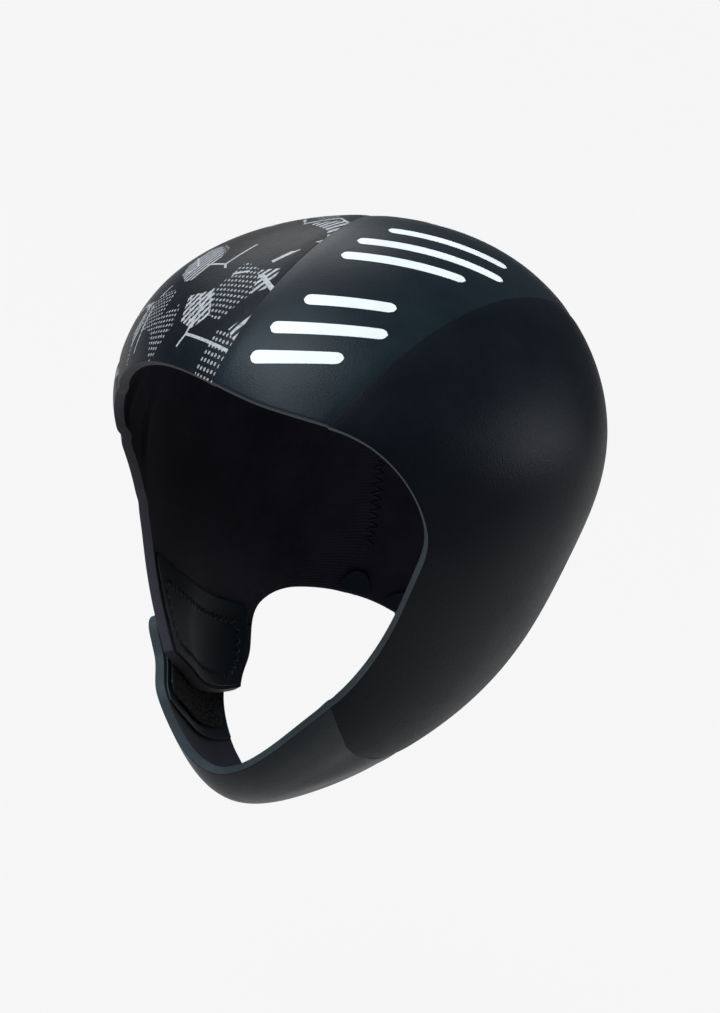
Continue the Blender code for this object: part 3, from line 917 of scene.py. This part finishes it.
# Stitching. Black polyester thread: a zigzag over each crown seam inside, and round the loop patch where
# it shows through the flap's facing. Each stitch is a short raised thread that dips at its two ends.
THREAD = 0.00024
STITCH_STEP = 0.0017
STITCH_RISE = 1.4
STITCH_DIP = 0.6
SEAM_ZIGZAG = 0.0036
PATCH_ZIGZAG = 0.0022
RING_END = 0.0065
RING_MARGIN = 0.0055
THREAD_BLACK, *_ = rubbered(
    "black_thread", (0.010, 0.010, 0.012), (0.020, 0.020, 0.024), 0.55, 3000.0, 0.4, 0.3)
THREAD_SIDES = 5
STITCH_RINGS = 4


def one_stitch(start, end, normal):
    """Rings of one stitch from start to end, raised along the normal in the middle."""
    run = unit(end - start)
    side = np.cross(normal, run)
    angle = np.arange(THREAD_SIDES) * 2.0 * math.pi / THREAD_SIDES
    rings = []
    for share in np.linspace(0.0, 1.0, STITCH_RINGS):
        lift = THREAD * (STITCH_RISE * math.sin(math.pi * share) - STITCH_DIP)
        centre = mix(start, end, share) + lift * normal
        rings.append(centre + THREAD * (np.cos(angle)[:, None] * side + np.sin(angle)[:, None] * normal))
    return np.concatenate(rings)


def sew(name, points, normals, width):
    """A zigzag of stitches along a line of points, as one mesh."""
    steps = np.concatenate([[0.0], np.cumsum(np.linalg.norm(np.diff(points, axis=0), axis=1))])
    count = int(steps[-1] / STITCH_STEP)
    at = np.linspace(0.0, steps[-1], count + 1)
    line = np.stack([np.interp(at, steps, points[:, k]) for k in range(3)], axis=-1)
    up = unit(np.stack([np.interp(at, steps, normals[:, k]) for k in range(3)], axis=-1))
    side = unit(np.cross(up, np.gradient(line, axis=0)))
    swing = np.where(np.arange(count + 1) % 2, 0.5, -0.5)[:, None] * width
    holes = line + side * swing
    verts, faces = [], []
    for i in range(count):
        base = len(verts)
        verts.extend(one_stitch(holes[i], holes[i + 1], up[i]))
        for ring in range(STITCH_RINGS - 1):
            for k in range(THREAD_SIDES):
                a, b = base + ring * THREAD_SIDES + k, base + ring * THREAD_SIDES + (k + 1) % THREAD_SIDES
                faces.append((a, b, b + THREAD_SIDES, a + THREAD_SIDES))
        faces.append(tuple(base + k for k in reversed(range(THREAD_SIDES))))
        last = base + (STITCH_RINGS - 1) * THREAD_SIDES
        faces.append(tuple(last + k for k in range(THREAD_SIDES)))
    mesh = bpy.data.meshes.new(name)
    mesh.from_pydata([tuple(v) for v in verts], [], faces)
    mesh.materials.append(THREAD_BLACK)
    thread = bpy.data.objects.new(name, mesh)
    bpy.context.scene.collection.objects.link(thread)
    pick(thread)
    bpy.ops.object.mode_set(mode="EDIT")
    bpy.ops.mesh.select_all(action="SELECT")
    bpy.ops.mesh.normals_make_consistent(inside=False)
    bpy.ops.object.mode_set(mode="OBJECT")
    bpy.ops.object.shade_smooth()
    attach(thread, "root")


def inside(way, depth):
    """Points on the cap's inner face and the normals that point into the hollow."""
    normal = form_normal(way)
    return form_point(way) - normal * depth, -normal


# The seam stitches stop a little short of the brow and of the nape patches.
SEWN = slice(4, -14)
for name, seam in (("seam_stitches_left", left_seam), ("seam_stitches_right", right_seam)):
    sew(name, *inside(seam[SEWN], SHEET), SEAM_ZIGZAG)

ring = np.linspace(0.0, 1.0, 60)
low, high = np.zeros_like(ring), np.ones_like(ring)
loop_ring = [(low, ring), (ring, high), (high, 1.0 - ring), (1.0 - ring, low)]
ring_place = flap_piece(-SHEET - LAYER_GAP - FACING, RING_END, FLAP_PATCH_LENGTH - 2.0 * RING_END,
                        FLAP_PATCH_MARGIN + RING_MARGIN, True)
for number, (across, down) in enumerate(loop_ring, start=1):
    points, normals = ring_place(across, down)
    sew(f"patch_stitches_{number}", points, -normals, PATCH_ZIGZAG)


# Studio. A pale glowing floor under the cap, soft lights above, in front, beside and behind it, and a
# camera as far off as a product camera stands.
FLOOR_DROP = 0.27
FLOOR_SIZE = 14.0
FLOOR_GLOW = 0.915
WORLD_GLOW = 0.12
bpy.ops.mesh.primitive_plane_add(size=FLOOR_SIZE, location=(0.0, 0.0, -FLOOR_DROP))
floor = bpy.context.object
floor.name = "floor"
pale = bpy.data.materials.new("pale_floor")
pale.use_nodes = True
floor_shader = pale.node_tree.nodes["Principled BSDF"]
floor_shader.inputs["Base Color"].default_value = (0.005, 0.005, 0.005, 1.0)
floor_shader.inputs["Roughness"].default_value = 0.9
floor_shader.inputs["Specular IOR Level"].default_value = 0.0
floor_shader.inputs["Emission Color"].default_value = (1.0, 1.0, 1.0, 1.0)
floor_shader.inputs["Emission Strength"].default_value = FLOOR_GLOW
floor.data.materials.append(pale)

world = bpy.data.worlds.new("studio")
world.use_nodes = True
world.node_tree.nodes["Background"].inputs["Color"].default_value = (0.95, 0.98, 1.0, 1.0)
world.node_tree.nodes["Background"].inputs["Strength"].default_value = WORLD_GLOW
bpy.context.scene.world = world
bpy.context.scene.view_settings.view_transform = "Standard"

# Each light's name, place, size in metres, power in watts and tint. All are turned to the cap's middle.
MIDDLE = (0.0, 0.0, -0.09)
LIGHTS = (
    ("key", (-0.50, -0.40, 0.95), 0.7, 24.0, (0.78, 0.91, 1.0)),
    ("front", (-0.25, -1.0, 0.75), 0.6, 12.0, (0.80, 0.93, 1.0)),
    ("side", (1.0, 0.60, 0.40), 0.7, 20.0, (0.93, 0.96, 1.0)),
    ("back", (-0.7, 0.6, 0.5), 0.5, 3.0, (1.0, 0.98, 0.96)),
)


def soft_light(name, place, size, power, tint):
    """A square softbox at a place, turned to the cap's middle."""
    lamp = bpy.data.lights.new(name, "AREA")
    lamp.shape = "SQUARE"
    lamp.size = size
    lamp.energy = power
    lamp.color = tint
    item = bpy.data.objects.new(name, lamp)
    bpy.context.scene.collection.objects.link(item)
    item.location = place
    away = np.array(place) - np.array(MIDDLE)
    turn = math.atan2(away[0], -away[1])
    tilt = math.atan2(math.hypot(away[0], away[1]), away[2])
    item.rotation_euler = (tilt, 0.0, turn)


for row in LIGHTS:
    soft_light(*row)

# The camera stands 1.1 m from the middle of the form. Its bearing is degrees round from straight ahead
# towards the wearer's left, and its roll tips the cap to the right in the picture. FOCUS and
# PICTURE_HIGH are in pixels.
CAMERA_BEARING = math.radians(21.28)
CAMERA_RISE = math.radians(16.13)
CAMERA_ROLL = math.radians(-19.91)
CAMERA_AWAY = 1.1
CAMERA_ASIDE = (0.00487, 0.00426)
PICTURE_HIGH = 1013
FOCUS = 3423.0
SENSOR = 36.0
AIM = (0.0, -0.00386, 0.00054)
form_middle = SEAT + np.array(AIM)
towards = np.array([math.sin(CAMERA_BEARING) * math.cos(CAMERA_RISE),
                    -math.cos(CAMERA_BEARING) * math.cos(CAMERA_RISE), math.sin(CAMERA_RISE)])
level = np.array([math.cos(CAMERA_BEARING), math.sin(CAMERA_BEARING), 0.0])
upward = np.cross(towards, level)
right = math.cos(CAMERA_ROLL) * level - math.sin(CAMERA_ROLL) * upward
up = math.sin(CAMERA_ROLL) * level + math.cos(CAMERA_ROLL) * upward
lens = bpy.data.cameras.new("camera")
lens.sensor_width = SENSOR
lens.lens = FOCUS / PICTURE_HIGH * SENSOR
camera = bpy.data.objects.new("camera", lens)
bpy.context.scene.collection.objects.link(camera)
stand = form_middle + CAMERA_AWAY * towards + CAMERA_ASIDE[0] * right + CAMERA_ASIDE[1] * up
camera.location = stand
camera.rotation_euler = Matrix(np.stack([right, up, towards], axis=-1).tolist()).to_euler()
bpy.context.scene.camera = camera
